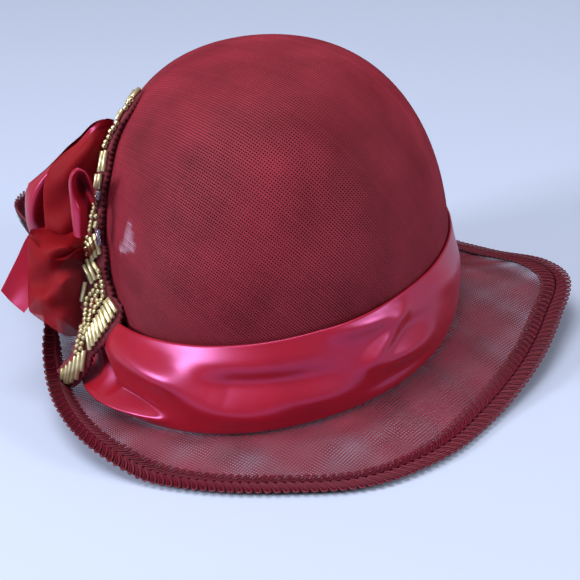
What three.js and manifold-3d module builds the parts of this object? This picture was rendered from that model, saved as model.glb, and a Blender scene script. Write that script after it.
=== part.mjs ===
// Wide-brim dress hat: open-weave crown and brim, satin band, gimp edge, bow and beaded strip.
// Millimetres, +Z up, resting brim-down. +X is the plain side, -X the trimmed side, -Y the back.
import * as THREE from "three";
import { mergeVertices } from "three/addons/utils/BufferGeometryUtils.js";
import Module from "manifold-3d";

const wasm = await Module();
wasm.setup();
const { Manifold, Mesh } = wasm;

const RING_STEPS = 80;

// Headline: the oval where crown and brim meet, higher on the plain side than on the trimmed side
const HEADLINE_HALF_WIDTH = 99.2;
const DEPTH_RATIO = 1.12;
const HEADLINE_HEIGHT = 16;
const HEADLINE_EASE = 0.7;
const HEADLINE_SLOPE = { x: 0.088, y: 0.046 };

// Crown
const CROWN_HALF_WIDTH = 90.9;
const CROWN_CENTRE_X = 8.3;
const CROWN_WALL = 1.5;
const DOME_FOOT = 26.8;
const DOME_RISE = 130.7;
const DOME_POWER = 2.71;
const DOME_BELLY = 0.018;
const DOME_SLOPE_X = 0.11;
const DOME_LEAN = { x: -3.4, y: -4 };
const WALL_SHARE = 0.2;

// Brim
const BRIM_WALL = 1.2;
const BRIM_TURN = { out: 0.55, up: 0.2 };
const PROFILE_STEPS = 32;
const LAY_EASE = 1.5;

// Brim edge by plan angle: reach from the headline centre and height of the cloth above the table.
// Rows at or below zero height lie flat on the table.
const BRIM_EDGE = [
  { deg: -171, reach: 122.5, height: 41 },
  { deg: -165, reach: 126.5, height: 33 },
  { deg: -157, reach: 131.5, height: 24 },
  { deg: -141, reach: 142, height: 14.5 },
  { deg: -127, reach: 151, height: 8.5 },
  { deg: -116, reach: 155, height: 1 },
  { deg: -106, reach: 158, height: -2.5 },
  { deg: -90, reach: 163, height: -3.5 },
  { deg: -76, reach: 170, height: -3.5 },
  { deg: -62, reach: 165, height: -2.5 },
  { deg: -44, reach: 154, height: 1.5 },
  { deg: -28, reach: 153, height: 7.5 },
  { deg: -10, reach: 158, height: 14.5 },
  { deg: 4, reach: 168, height: 19.5 },
  { deg: 15, reach: 166.5, height: 17.5 },
  { deg: 32, reach: 162, height: 8 },
  { deg: 49, reach: 171, height: -0.5 },
  { deg: 64, reach: 175, height: -3.5 },
  { deg: 80, reach: 178, height: -3.5 },
  { deg: 93, reach: 180, height: -2 },
  { deg: 105, reach: 181, height: 15 },
  { deg: 120, reach: 182, height: 45 },
  { deg: 134, reach: 181, height: 61 },
  { deg: 140, reach: 178, height: 64 },
  { deg: 147, reach: 168, height: 65 },
  { deg: 155, reach: 145, height: 64.5 },
  { deg: 165, reach: 131, height: 62.5 },
  { deg: 173, reach: 125.5, height: 56 },
  { deg: 180, reach: 123.5, height: 48.5 },
];

// Gimp braid: laps over the brim edge and stands past it
const BRAID_WIDTH = 18;
const BRAID_THICK = 2;
const BRAID_OVERHANG = 5;
const BRAID_LIFT = 0.45;

// Satin band
const BAND_WALL = 1;
const BAND_LIFT = 0.8;
const BAND_FOOT_HALF_WIDTH = 100.8;
const BAND_TOP = { halfWidth: 95.2, ratio: 1.11, centreX: 6.4, height: 44.7, slopeX: 0.11, slopeY: 0.037 };

// Folds of the band: a crease from one (deg, level) to another; level runs 0 at the foot to 1 at the top
const BAND_FOLDS = [
  { deg0: -168, level0: 0.5, deg1: -122, level1: 0.12, width: 6, rise: -4 },
  { deg0: -170, level0: 0.24, deg1: -132, level1: 0.0, width: 4, rise: 3 },
  { deg0: -166, level0: 0.82, deg1: -116, level1: 0.42, width: 8, rise: 2.2 },
  { deg0: -58, level0: 0.3, deg1: -12, level1: 0.16, width: 7, rise: 2 },
  { deg0: -62, level0: 0.9, deg1: -30, level1: 0.5, width: 7, rise: 1.4 },
];

// Bow: each ribbon runs from its gathered root to its tip. A turned one folds back there into a loop.
const RIBBON_WALL = 1;
const LEG_SPACE = 1.6;
const BOW = [
  {
    name: "satin_loop", turned: true, bulge: 7, open: 0, ripples: 2, ripple: 1.8,
    rootTop: [-71.1, 13, 138.5], rootFoot: [-84.6, 10, 86], tipTop: [-121, 8, 108.5], tipFoot: [-124, 8, 83],
  },
  {
    name: "satin_curl", turned: true, bulge: 6, open: 1, ripples: 0, ripple: 0,
    rootTop: [-98, -23.5, 90.9], rootFoot: [-92, -43.5, 90.9],
    tipTop: [-93, -23.5, 127.9], tipFoot: [-88, -43.5, 128.9],
  },
  {
    name: "organza_upper", turned: true, bulge: 3, open: 0, ripples: 2, ripple: 1,
    rootTop: [-73, -12.2, 132], rootFoot: [-85.4, -15.4, 84],
    tipTop: [-108, -15, 122], tipFoot: [-116, -14, 81],
  },
  {
    name: "organza_lower", turned: true, bulge: 6, open: 0, ripples: 2, ripple: 1.8,
    rootTop: [-92.6, -30, 86], rootFoot: [-102.6, -36, 38], tipTop: [-121, -28, 91], tipFoot: [-126, -27, 51],
  },
  {
    name: "satin_tail", turned: false, bulge: 2, open: 0, ripples: 0, ripple: 0,
    rootTop: [-123, -9.5, 84.9], rootFoot: [-108, -9.5, 76.9],
    tipTop: [-141, -20, 60.5], tipFoot: [-129.5, -20, 45],
  },
];

// Beaded strip: path over the crown side and the band to the brim, with the width of its backing
const STRIP_WALL = 1.2;
const STRIP_FACING = { top: [-0.72, -0.55, 0.42], foot: [-0.42, -0.9, 0.15] };
const STRIP_PATH = [
  { at: [-56.3, 1.7, 156.3], width: 6 },
  { at: [-63.2, -9, 151.5], width: 5 },
  { at: [-72, -14.8, 137.9], width: 5 },
  { at: [-77.6, -21, 123.2], width: 6 },
  { at: [-83, -24, 105.3], width: 6 },
  { at: [-86.7, -27, 87.7], width: 8 },
  { at: [-87.1, -34, 73.3], width: 11 },
  { at: [-85.9, -40.8, 57.1], width: 19 },
  { at: [-89.8, -49.6, 44.3], width: 19 },
  { at: [-98.1, -51.8, 30.6], width: 14 },
  { at: [-109.1, -48.6, 17.4], width: 9 },
];

// Bugle beads in rows: first and last place along and across the strip, and lean from its run
const BUGLE_RADIUS = 1.2;
const BUGLE_SIDES = 6;
const BUGLES = [
  { count: 2, along0: 0.03, along1: 0.05, across0: 1.3, across1: -1.3, lean0: 0, lean1: 4, length: 8.5 },
  { count: 2, along0: 0.275, along1: 0.275, across0: 1.2, across1: -1.2, lean0: 3, lean1: 3, length: 11 },
  { count: 2, along0: 0.345, along1: 0.345, across0: 1.2, across1: -1.2, lean0: 0, lean1: 0, length: 8 },
  { count: 3, along0: 0.51, along1: 0.53, across0: 2.4, across1: -2.4, lean0: 8, lean1: 10, length: 13 },
  { count: 3, along0: 0.6, along1: 0.59, across0: 0.6, across1: -4.4, lean0: 24, lean1: 24, length: 11.5 },
  { count: 9, along0: 0.705, along1: 0.835, across0: 8, across1: -4.5, lean0: 32, lean1: 24, length: 11.5 },
  { count: 5, along0: 0.9, along1: 0.965, across0: 4.5, across1: -3.5, lean0: 34, lean1: 30, length: 11 },
];

const vec = (a) => new THREE.Vector3(a[0], a[1], a[2]);
const rad = (deg) => (deg * Math.PI) / 180;
const mix = (a, b, t) => a + (b - a) * t;

// Closed thin solid on a surface at(u, v): the surface is its outer face
function sheet(at, columns, rows, thickness, { ring = false, pole = false, floor = null } = {}) {
  const step = 1e-4;
  const across = ring ? columns : columns + 1;
  const outer = [];
  const inner = [];
  for (let j = 0; j <= rows; j++) {
    const atPole = pole && j === rows;
    for (let i = 0; i < (atPole ? 1 : across); i++) {
      const u = i / columns;
      const v = j / rows;
      const [u0, u1] = ring ? [u - step, u + step] : [Math.max(u - step, 0), Math.min(u + step, 1)];
      const du = at(u1, v).sub(at(u0, v));
      const dv = at(u, Math.min(v + step, 1)).sub(at(u, Math.max(v - step, 0)));
      const normal = atPole ? new THREE.Vector3(0, 0, 1) : du.cross(dv).normalize();
      const p = at(u, v);
      const q = p.clone().addScaledVector(normal, -thickness);
      if (floor !== null) {
        p.z = Math.max(p.z, floor + thickness);
        q.z = Math.max(q.z, floor);
      }
      outer.push(p);
      inner.push(q);
    }
  }
  const index = [];
  const half = outer.length;
  const id = (i, j) => (pole && j === rows ? rows * across : j * across + (ring ? i % columns : i));
  const quad = (a, b, c, d) => {
    if (b !== c && a !== b) index.push(a, b, c);
    if (a !== d && c !== d) index.push(a, c, d);
  };
  for (let j = 0; j < rows; j++) {
    for (let i = 0; i < columns; i++) {
      const [a, b, c, d] = [id(i, j), id(i + 1, j), id(i + 1, j + 1), id(i, j + 1)];
      quad(a, b, c, d);
      quad(half + a, half + d, half + c, half + b);
    }
  }
  for (let i = 0; i < columns; i++) {
    quad(id(i + 1, 0), id(i, 0), half + id(i, 0), half + id(i + 1, 0));
    if (!pole) quad(id(i, rows), id(i + 1, rows), half + id(i + 1, rows), half + id(i, rows));
  }
  for (let j = 0; j < rows && !ring; j++) {
    quad(id(0, j), id(0, j + 1), half + id(0, j + 1), half + id(0, j));
    quad(id(columns, j + 1), id(columns, j), half + id(columns, j), half + id(columns, j + 1));
  }
  const points = [...outer, ...inner];
  let volume = 0;
  for (let k = 0; k < index.length; k += 3) {
    const [a, b, c] = [points[index[k]], points[index[k + 1]], points[index[k + 2]]];
    volume += a.dot(b.clone().cross(c));
  }
  if (volume < 0) index.reverse();
  const geometry = new THREE.BufferGeometry();
  const numbers = points.flatMap((p) => [p.x, p.y, p.z]);
  geometry.setAttribute("position", new THREE.Float32BufferAttribute(numbers, 3));
  geometry.setIndex(index);
  return geometry;
}

const headlineHeight = (x, y) => HEADLINE_HEIGHT + HEADLINE_SLOPE.x * x + HEADLINE_SLOPE.y * y;

function ovalReach(halfWidth, angle) {
  return 1 / Math.hypot(Math.cos(angle) / halfWidth, Math.sin(angle) / (halfWidth * DEPTH_RATIO));
}

// Smooth closed curve through the brim edge rows
function brimEdge(angle) {
  const deg = THREE.MathUtils.euclideanModulo((angle * 180) / Math.PI + 171, 360) - 171;
  const n = BRIM_EDGE.length;
  let k = n - 1;
  while (BRIM_EDGE[k].deg > deg) k--;
  const row = (i) => {
    const turn = Math.floor(i / n);
    const r = BRIM_EDGE[i - turn * n];
    return { deg: r.deg + 360 * turn, reach: r.reach, height: r.height };
  };
  const [p, a, b, q] = [row(k - 1), row(k), row(k + 1), row(k + 2)];
  const span = b.deg - a.deg;
  const t = (deg - a.deg) / span;
  const blend = (key) => {
    const slope0 = ((b[key] - p[key]) / (b.deg - p.deg)) * span;
    const slope1 = ((q[key] - a[key]) / (q.deg - a.deg)) * span;
    const [t2, t3] = [t * t, t * t * t];
    return (2 * t3 - 3 * t2 + 1) * a[key] + (t3 - 2 * t2 + t) * slope0
      + (3 * t2 - 2 * t3) * b[key] + (t3 - t2) * slope1;
  };
  return { reach: blend("reach"), height: blend("height") };
}

// Cloth that would pass below the table eases into lying flat on it
function layDown(z) {
  const over = z - BRIM_WALL;
  if (over >= LAY_EASE) return z;
  return BRIM_WALL + (over <= -LAY_EASE ? 0 : (over + LAY_EASE) ** 2 / (4 * LAY_EASE));
}

// Section of the brim at one plan angle, from the headline out to the edge
function brimSection(angle) {
  const r0 = ovalReach(HEADLINE_HALF_WIDTH + HEADLINE_EASE, angle);
  const z0 = headlineHeight(r0 * Math.cos(angle), r0 * Math.sin(angle));
  const edge = brimEdge(angle);
  const r1 = mix(r0, edge.reach, BRIM_TURN.out);
  const z1 = mix(z0, edge.height, edge.height > z0 ? BRIM_TURN.up : BRIM_TURN.out + 0.2);
  const points = [];
  let run = 0;
  for (let i = 0; i <= PROFILE_STEPS; i++) {
    const t = i / PROFILE_STEPS;
    const r = mix(mix(r0, r1, t), mix(r1, edge.reach, t), t);
    const z = layDown(mix(mix(z0, z1, t), mix(z1, edge.height, t), t));
    const last = points[points.length - 1];
    if (last) run += Math.hypot(r - last.r, z - last.z);
    points.push({ r, z, run });
  }
  return points;
}

function alongSection(section, key, value) {
  let k = 1;
  while (k < section.length - 1 && section[k][key] < value) k++;
  const [a, b] = [section[k - 1], section[k]];
  const t = (value - a[key]) / (b[key] - a[key]);
  return { r: mix(a.r, b.r, t), z: mix(a.z, b.z, t) };
}

// Top face of the brim, a distance in from the outer edge of the braid
function brimPoint(angle, inward) {
  const section = brimSection(angle);
  const at = alongSection(section, "run", section[PROFILE_STEPS].run - inward);
  return new THREE.Vector3(at.r * Math.cos(angle), at.r * Math.sin(angle), at.z);
}

function brimAt(u, v) {
  const angle = -2 * Math.PI * u;
  return brimPoint(angle, mix(brimSection(angle)[PROFILE_STEPS].run, BRAID_OVERHANG, v));
}

// Top face of the braid
function braidAt(u, v) {
  const angle = -2 * Math.PI * u;
  const inward = mix(BRAID_WIDTH, 0, v);
  const outward = brimPoint(angle, inward - 0.5).sub(brimPoint(angle, inward + 0.5));
  const sideways = brimPoint(angle + 0.005, inward).sub(brimPoint(angle - 0.005, inward));
  const face = outward.cross(sideways).normalize();
  return brimPoint(angle, inward).addScaledVector(face, BRAID_LIFT + BRAID_THICK);
}

function crownAt(u, v) {
  const angle = 2 * Math.PI * u;
  const [c, s] = [Math.cos(angle), Math.sin(angle)];
  const dome = (t, r) => {
    const full = r * (1 + 6.75 * DOME_BELLY * t * (1 - t) ** 2);
    const x = full * c;
    return new THREE.Vector3(
      CROWN_CENTRE_X + x + DOME_LEAN.x * t,
      full * DEPTH_RATIO * s + DOME_LEAN.y * t,
      HEADLINE_HEIGHT + DOME_FOOT + DOME_RISE * t + DOME_SLOPE_X * (1 - t) * x,
    );
  };
  if (v >= WALL_SHARE) {
    const phi = ((v - WALL_SHARE) / (1 - WALL_SHARE)) * (Math.PI / 2);
    const power = 2 / DOME_POWER;
    return dome(Math.sin(phi) ** power, CROWN_HALF_WIDTH * Math.max(Math.cos(phi), 0) ** power);
  }
  const x = HEADLINE_HALF_WIDTH * c;
  const y = HEADLINE_HALF_WIDTH * DEPTH_RATIO * s;
  const foot = new THREE.Vector3(x, y, headlineHeight(x, y) - BRIM_WALL);
  return foot.lerp(dome(0, CROWN_HALF_WIDTH), Math.sin((v / WALL_SHARE) * (Math.PI / 2)) ** 1.2);
}

// Height of the folds at one place of the band
function foldRise(deg, level, height) {
  let rise = 0;
  for (const f of BAND_FOLDS) {
    const mmPerDeg = rad(1) * BAND_FOOT_HALF_WIDTH;
    const ax = (f.deg1 - f.deg0) * mmPerDeg;
    const ay = (f.level1 - f.level0) * height;
    const bx = (deg - f.deg0) * mmPerDeg;
    const by = (level - f.level0) * height;
    const t = (ax * bx + ay * by) / (ax * ax + ay * ay);
    const off = (ax * by - ay * bx) / Math.hypot(ax, ay);
    if (t > 0 && t < 1) rise += f.rise * Math.sin(Math.PI * t) * Math.exp(-((off / f.width) ** 2));
  }
  return rise;
}

function bandAt(u, v) {
  const angle = 2 * Math.PI * u - Math.PI;
  const [c, s] = [Math.cos(angle), Math.sin(angle)];
  const foot = new THREE.Vector3(BAND_FOOT_HALF_WIDTH * c, BAND_FOOT_HALF_WIDTH * DEPTH_RATIO * s, 0);
  const plan = Math.atan2(foot.y, foot.x);
  foot.z = alongSection(brimSection(plan), "r", Math.hypot(foot.x, foot.y)).z + BAND_LIFT;
  const [x, y] = [BAND_TOP.halfWidth * c, BAND_TOP.halfWidth * BAND_TOP.ratio * s];
  const top = new THREE.Vector3(
    BAND_TOP.centreX + x, y,
    HEADLINE_HEIGHT + BAND_TOP.height + BAND_TOP.slopeX * x + BAND_TOP.slopeY * y,
  );
  const rise = foldRise((angle * 180) / Math.PI, v, BAND_TOP.height) * Math.min(1, v * 6);
  const p = foot.lerp(top, v);
  p.x += rise * c;
  p.y += rise * s;
  return p;
}

function ribbonAt(row, u, v) {
  const [rootTop, rootFoot, tipTop, tipFoot] = [row.rootTop, row.rootFoot, row.tipTop, row.tipFoot].map(vec);
  const out = tipTop.clone().add(tipFoot).sub(rootTop).sub(rootFoot);
  const face = out.cross(rootTop.clone().sub(rootFoot).add(tipTop).sub(tipFoot)).normalize();
  const swell = Math.max(Math.sin(Math.PI * u), 0);
  const reach = row.turned ? swell ** 0.7 : u;
  let lift = row.ripple * swell * Math.cos(2 * Math.PI * row.ripples * (v - 0.5));
  if (row.turned) {
    lift += row.bulge * (1 - row.open) * Math.sin(2 * Math.PI * u)
      + (row.open * row.bulge + LEG_SPACE) * Math.cos(Math.PI * u);
  } else {
    lift += row.bulge * Math.sin(1.3 * Math.PI * u) * (0.5 + v);
  }
  const foot = rootFoot.lerp(tipFoot, reach);
  return foot.lerp(rootTop.lerp(tipTop, reach), v).addScaledVector(face, lift);
}

const stripCurve = new THREE.CatmullRomCurve3(STRIP_PATH.map((row) => vec(row.at)));

function stripFrame(u) {
  const along = stripCurve.getTangent(u);
  const face = vec(STRIP_FACING.top).lerp(vec(STRIP_FACING.foot), u);
  face.addScaledVector(along, -face.dot(along)).normalize();
  return { along, face, across: face.clone().cross(along) };
}

function stripAt(u, v) {
  const k = u * (STRIP_PATH.length - 1);
  const i = Math.min(Math.floor(k), STRIP_PATH.length - 2);
  const width = mix(STRIP_PATH[i].width, STRIP_PATH[i + 1].width, k - i);
  return stripCurve.getPoint(u).addScaledVector(stripFrame(u).across, (v - 0.5) * width);
}

function solid(geometry) {
  return new Manifold(new Mesh({
    numProp: 3,
    vertProperties: new Float32Array(geometry.getAttribute("position").array),
    triVerts: new Uint32Array(geometry.getIndex().array),
  }));
}

function bugle(row, i) {
  const t = i / (row.count - 1);
  const u = mix(row.along0, row.along1, t);
  const f = stripFrame(u);
  const axis = f.along.clone().applyAxisAngle(f.face, rad(mix(row.lean0, row.lean1, t)));
  const centre = stripCurve.getPoint(u)
    .addScaledVector(f.across, mix(row.across0, row.across1, t))
    .addScaledVector(f.face, BUGLE_RADIUS * 0.5);
  const place = new THREE.Matrix4().makeBasis(f.face, axis, f.face.clone().cross(axis)).setPosition(centre);
  const tube = new THREE.CylinderGeometry(
    BUGLE_RADIUS, BUGLE_RADIUS, row.length, BUGLE_SIDES, 1, false, Math.PI / 2,
  );
  tube.deleteAttribute("normal");
  tube.deleteAttribute("uv");
  return solid(mergeVertices(tube.applyMatrix4(place)));
}

function beadStrip() {
  const backing = solid(sheet(stripAt, 24, 2, STRIP_WALL));
  const beads = BUGLES.flatMap((row) => Array.from({ length: row.count }, (_, i) => bugle(row, i)));
  const mesh = Manifold.union([backing, ...beads]).getMesh();
  const geometry = new THREE.BufferGeometry();
  geometry.setAttribute("position", new THREE.Float32BufferAttribute(mesh.vertProperties, 3));
  geometry.setIndex(Array.from(mesh.triVerts));
  return geometry;
}

const cloth = (color) => new THREE.MeshStandardMaterial({ color, roughness: 0.8 });
const SINAMAY = cloth("#7d2433");
const SATIN = new THREE.MeshStandardMaterial({ color: "#a01830", roughness: 0.35 });
const ORGANZA = cloth("#7a1420");
const GIMP = cloth("#5e1c28");
const BEADS = new THREE.MeshStandardMaterial({ color: "#c2ad74", roughness: 0.3, metalness: 0.6 });

const pieces = [
  ["crown", sheet(crownAt, 52, 13, CROWN_WALL, { ring: true, pole: true }), SINAMAY],
  ["brim", sheet(brimAt, RING_STEPS, 6, BRIM_WALL, { ring: true, floor: 0 }), SINAMAY],
  ["gimp_braid", sheet(braidAt, RING_STEPS, 2, BRAID_THICK, { ring: true }), GIMP],
  ["satin_band", sheet(bandAt, RING_STEPS, 6, BAND_WALL, { ring: true }), SATIN],
  ...BOW.map((row) => [
    row.name,
    sheet((u, v) => ribbonAt(row, u, v), row.turned ? 16 : 8, row.turned ? 5 : 3, RIBBON_WALL),
    row.name.startsWith("satin") ? SATIN : ORGANZA,
  ]),
  ["bead_applique", beadStrip(), BEADS],
];

const assembly = new THREE.Group();
for (const [name, geometry, material] of pieces) {
  const mesh = new THREE.Mesh(geometry, material);
  mesh.name = name;
  assembly.add(mesh);
}

// The origin is under the middle of the hat, on the table
const middle = new THREE.Box3().setFromObject(assembly).getCenter(new THREE.Vector3());
assembly.position.set(-middle.x, -middle.y, 0);
const hat = new THREE.Group();
hat.name = "wide_brim_hat";
hat.add(assembly);

export default hat;
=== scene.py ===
# %% [markdown]
# A wide-brim dress hat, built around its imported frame.
# The crown and the brim are sinamay, a stiff open weave, so their threads are modelled one by one.
# The trim is satin and organza ribbon, a gimp braid and a strip of gold-lined glass beads.
# Sizes are in millimetres in the hat's own frame: its origin is the middle of the headline,
# the oval where crown and brim meet, and the table is at height 0. One function turns them to metres.

# %% Load the frame
import math

import bpy
import numpy as np
from mathutils import Matrix, Vector


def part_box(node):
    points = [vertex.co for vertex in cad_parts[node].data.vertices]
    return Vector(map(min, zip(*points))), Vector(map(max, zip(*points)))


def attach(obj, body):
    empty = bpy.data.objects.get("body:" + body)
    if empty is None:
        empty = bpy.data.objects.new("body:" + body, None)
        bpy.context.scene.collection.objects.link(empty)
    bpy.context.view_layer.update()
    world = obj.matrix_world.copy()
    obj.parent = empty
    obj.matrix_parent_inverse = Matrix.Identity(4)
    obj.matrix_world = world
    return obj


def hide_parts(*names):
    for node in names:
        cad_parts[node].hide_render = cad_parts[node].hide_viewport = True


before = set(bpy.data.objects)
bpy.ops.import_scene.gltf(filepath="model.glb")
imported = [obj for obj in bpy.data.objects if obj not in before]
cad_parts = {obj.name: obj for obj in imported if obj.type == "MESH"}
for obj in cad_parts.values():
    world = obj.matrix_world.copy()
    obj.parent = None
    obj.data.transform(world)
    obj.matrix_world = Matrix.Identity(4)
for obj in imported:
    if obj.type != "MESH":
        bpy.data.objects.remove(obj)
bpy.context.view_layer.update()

HEADLINE_HALF_WIDTH = 99.2
DEPTH_RATIO = 1.12
HEADLINE_HEIGHT = 16.0
crown_low, crown_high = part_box("crown")
MIDDLE = np.array([crown_low.x * 1000 + HEADLINE_HALF_WIDTH, (crown_low.y + crown_high.y) * 500, 0.0])
random = np.random.default_rng(7)
print("nodes", sorted(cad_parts), "headline middle", MIDDLE.round(1))

# %% [markdown]
# The camera stands behind and above the hat, where the photograph was taken.
# Its focal length, tilt and roll were fitted to the crown's outline, so a place in the picture
# and a distance along the hat's depth give one point of the hat. The ribbons and beads use that.

# %% Camera
PICTURE = 580
FOCAL_PX = 2195.757
HEADLINE_PX = (269.898, 325.434)
TILT = math.radians(25.0)
ROLL = math.radians(-5.5)
DISTANCE = 1200.0
SENSOR_MM = 36.0
CLIP_END_M = 20.0


def unit(v):
    """Vectors of length 1 along the last axis."""
    return v / np.linalg.norm(v, axis=-1, keepdims=True)


ahead = np.array([0.0, math.cos(TILT), -math.sin(TILT)])
level_up = np.cross([1.0, 0.0, 0.0], ahead)
rolled_up = math.cos(ROLL) * level_up - math.sin(ROLL) * np.array([1.0, 0.0, 0.0])
rolled_right = np.cross(ahead, rolled_up)
eye = np.array([0.0, 0.0, HEADLINE_HEIGHT]) - ahead * DISTANCE
half = PICTURE / 2
aside = (half - HEADLINE_PX[0]) / FOCAL_PX
below = (half - HEADLINE_PX[1]) / FOCAL_PX
aim = unit(ahead + rolled_right * aside - rolled_up * below)
right = unit(np.cross(aim, rolled_up))
up = np.cross(right, aim)


def seen(px, py, depth):
    """The point at a place of the picture and at a depth, in hat millimetres."""
    ray = aim + right * (px - half) / FOCAL_PX - up * (py - half) / FOCAL_PX
    return eye + ray * (depth - eye[1]) / ray[1]


def to_picture(points):
    """Where points of the hat are seen in the picture."""
    q = np.asarray(points, float) - eye
    reach = q @ aim
    return np.stack([half + FOCAL_PX * (q @ right) / reach, half - FOCAL_PX * (q @ up) / reach], -1)


def metres(points):
    """Hat millimetres as metres of the frame."""
    return (np.asarray(points, float) + MIDDLE) / 1000


camera = bpy.data.objects.new("camera", bpy.data.cameras.new("camera"))
bpy.context.scene.collection.objects.link(camera)
camera.data.sensor_width = SENSOR_MM
camera.data.lens = FOCAL_PX / PICTURE * SENSOR_MM
camera.data.clip_end = CLIP_END_M
camera_turn = Matrix(np.stack([right, up, -aim], 1)).to_4x4()
camera.matrix_world = Matrix.Translation(Vector(metres(eye))) @ camera_turn
bpy.context.scene.camera = camera
print("camera lens", round(camera.data.lens, 1), "mm")

# %% [markdown]
# Colours are written as sRGB hex, as a dyer's card would give them, and turned to linear light once.
# One small function adds a shader node with its settings and links.

# %% Colour and node helpers


def linear(code):
    """Linear light of an sRGB hex colour."""
    parts = [int(code[i:i + 2], 16) / 255 for i in (1, 3, 5)]
    return tuple(c / 12.92 if c <= 0.04045 else ((c + 0.055) / 1.055) ** 2.4 for c in parts) + (1.0,)


def add_node(material, kind, settings=None, inputs=None):
    """A new node; an input that is a socket is linked and any other is a constant."""
    made = material.node_tree.nodes.new(kind)
    for key, value in (settings or {}).items():
        setattr(made, key, value)
    for key, value in (inputs or {}).items():
        if isinstance(value, bpy.types.NodeSocket):
            material.node_tree.links.new(value, made.inputs[key])
        else:
            made.inputs[key].default_value = value
    return made


def start_material(name, values):
    """A material and its shader, with constants on the shader's own sockets."""
    material = bpy.data.materials.new(name)
    material.use_nodes = True
    shader = material.node_tree.nodes["Principled BSDF"]
    for key, value in values.items():
        shader.inputs[key].default_value = value
    return material, shader


def mottle_dye(material, shader, size_mm, detail, dark, light):
    """Two shades of a colour, mixed by a noise with patches of a real size; gives its place and noise."""
    place = add_node(material, "ShaderNodeTexCoord")
    noise = add_node(material, "ShaderNodeTexNoise", None,
                     {"Vector": place.outputs["Object"], "Scale": 1000 / size_mm, "Detail": detail})
    dye = add_node(material, "ShaderNodeMix", {"data_type": "RGBA"},
                   {0: noise.outputs["Fac"], 6: linear(dark), 7: linear(light)})
    material.node_tree.links.new(dye.outputs[2], shader.inputs["Base Color"])
    return place, noise


# %% [markdown]
# Sinamay is woven from split abaca fibre and stiffened with size. The fibre is slightly glossy
# and no two threads take the dye alike, so each thread carries a tone of its own, kept in the mesh,
# and a slow noise mottles the cloth. In one pale patch on the front of the crown, a value kept in the mesh
# lightens the threads.

# %% Sinamay threads and ground
MOTTLE_MM = 30.0
TONE_SHARE = 0.14


def sinamay_material(name, dark, light, patch_colour):
    """Dyed fibre between two shades, made pale where the mesh marks the pale patch."""
    material, shader = start_material(name, {"Roughness": 0.62, "IOR": 1.5, "Specular IOR Level": 0.22})
    links = material.node_tree.links
    place = add_node(material, "ShaderNodeTexCoord")
    mottle = add_node(material, "ShaderNodeTexNoise", None,
                      {"Vector": place.outputs["Object"], "Scale": 1000 / MOTTLE_MM, "Detail": 4.0})
    tone = add_node(material, "ShaderNodeAttribute", {"attribute_name": "tone"})
    both = add_node(material, "ShaderNodeMath", {"operation": "MULTIPLY_ADD"},
                    {0: tone.outputs["Fac"], 1: TONE_SHARE, 2: mottle.outputs["Fac"]})
    spread = add_node(material, "ShaderNodeMapRange", None,
                      {"Value": both.outputs[0], "From Min": 0.3, "From Max": 0.85})
    dye = add_node(material, "ShaderNodeMix", {"data_type": "RGBA"},
                   {0: spread.outputs[0], 6: linear(dark), 7: linear(light)})
    pale_patch = add_node(material, "ShaderNodeAttribute", {"attribute_name": "pale_patch"})
    patched = add_node(material, "ShaderNodeMix", {"data_type": "RGBA"},
                      {0: pale_patch.outputs["Fac"], 6: dye.outputs[2], 7: linear(patch_colour)})
    links.new(patched.outputs[2], shader.inputs["Base Color"])
    return material


crown_thread = sinamay_material("sinamay_crown_thread", "#620d1b", "#842030", "#b79db0")
brim_thread = sinamay_material("sinamay_brim_thread", "#651522", "#8b2f3f", "#c9b4c8")

# The inner layer's two shades are darker than the threads' dye: partly its own colour, partly painted shade
# that falls between and under the threads.
sinamay_ground, ground_shader = start_material("sinamay_inner_layer_and_shade", {"Roughness": 0.8, "IOR": 1.5})
mottle_dye(sinamay_ground, ground_shader, MOTTLE_MM, 6.0, "#30050b", "#440a14")

# %% [markdown]
# Satin is polyester filament with long floats on its face. The floats lie along the ribbon, so the
# gloss is strong and drawn out, and the crimson goes to pink where it catches a window's light.
# Its weave, about 0.25 mm, is too fine for this picture: a faint ripple a few millimetres wide
# breaks the gloss instead. Organza is a sheer plain weave of twisted nylon, so it is dull and lets
# some light through.

# %% Satin and organza
SATIN_CLOUD_MM = 22.0
RIPPLE_MM = 5.08
DIAGONAL_WAVE = 2 * math.pi / (10 * math.sqrt(3))  # crest to crest of a diagonal wave of scale 1
ORGANZA_CLOUD_MM = 15.0


def satin_material(name, dark, light, glow):
    """Satin between two shades, with a gloss of its own colour."""
    material, shader = start_material(name, {"Roughness": 0.33, "IOR": 1.54, "Specular IOR Level": 0.95,
                                             "Specular Tint": linear(glow), "Anisotropic": 0.45,
                                             "Sheen Weight": 0.05, "Sheen Roughness": 0.35,
                                             "Sheen Tint": linear(glow)})
    place, _ = mottle_dye(material, shader, SATIN_CLOUD_MM, 3.0, dark, light)
    ripple = add_node(material, "ShaderNodeTexWave", {"bands_direction": "DIAGONAL"},
                      {"Vector": place.outputs["Object"], "Scale": 1000 * DIAGONAL_WAVE / RIPPLE_MM,
                       "Distortion": 0.6})
    bump = add_node(material, "ShaderNodeBump", None,
                    {"Strength": 0.04, "Distance": 0.0002, "Height": ripple.outputs["Fac"]})
    material.node_tree.links.new(bump.outputs["Normal"], shader.inputs["Normal"])
    return material


satin = satin_material("polyester_satin", "#78080e", "#950e17", "#ff98e2")


def organza_material(name, dark, light, cover):
    """Organza between two shades; cover is the share of light that it stops."""
    material, shader = start_material(name, {"Roughness": 0.6, "IOR": 1.5, "Specular IOR Level": 0.1,
                                             "Alpha": cover})
    mottle_dye(material, shader, ORGANZA_CLOUD_MM, 3.0, dark, light)
    return material


organza = organza_material("nylon_organza", "#66070e", "#8a0e17", 0.84)

# %% [markdown]
# Gimp is rayon thread wound round a core cord. The winding gives the cord a soft gloss and fine
# rings across it, drawn here by a wave along the cord's own length, which the mesh keeps as a UV.

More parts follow.
